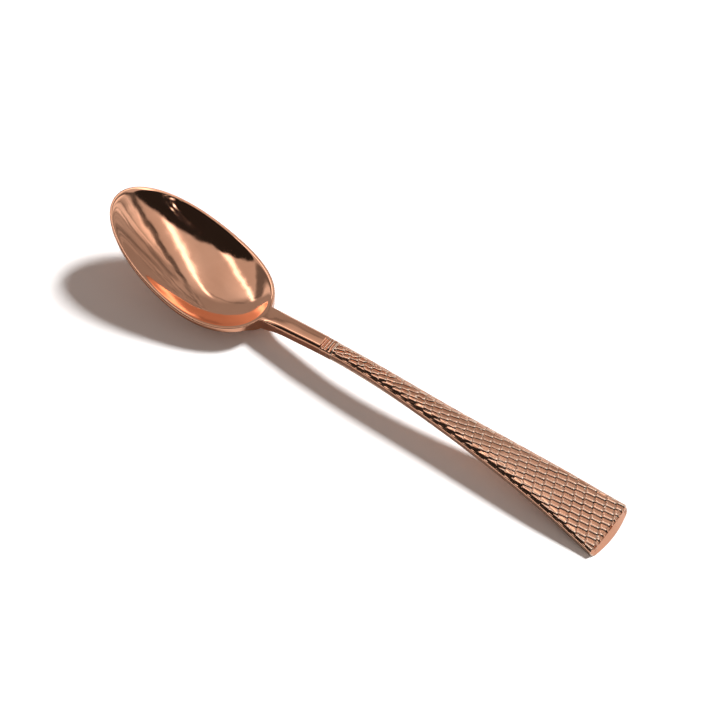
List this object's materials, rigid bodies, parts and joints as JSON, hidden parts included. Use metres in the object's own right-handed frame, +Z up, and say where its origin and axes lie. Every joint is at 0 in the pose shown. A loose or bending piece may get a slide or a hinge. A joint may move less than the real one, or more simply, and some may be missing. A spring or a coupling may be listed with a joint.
{
  "type": "dessert spoon",
  "caption": "Rose-gold metal spoon with an oval bowl, a slim neck with a beaded collar, and a flared handle with a raised scale pattern.",
  "frame": {"origin": "on the table, under the middle of the spoon's length and width, with the spoon lying at rest, hollow up", "axes": "+X from the bowl's tip to the end of the handle, +Y across the spoon, +Z up out of the bowl"},
  "size_m": [0.18, 0.0324, 0.0238],
  "materials": {
    "polished_rose_gold": "mirror-polished rose-gold coating on stainless steel",
    "collar_rose_gold": "polished rose-gold coating on stainless steel, darker in the grooves between the beads",
    "scaled_rose_gold": "polished rose-gold coating over a raised scale pattern, smooth on the sides and underneath"
  },
  "bodies": {
    "root": {"bowl": "polished_rose_gold", "collar": "collar_rose_gold", "handle": "scaled_rose_gold"}
  },
  "joints": []
}
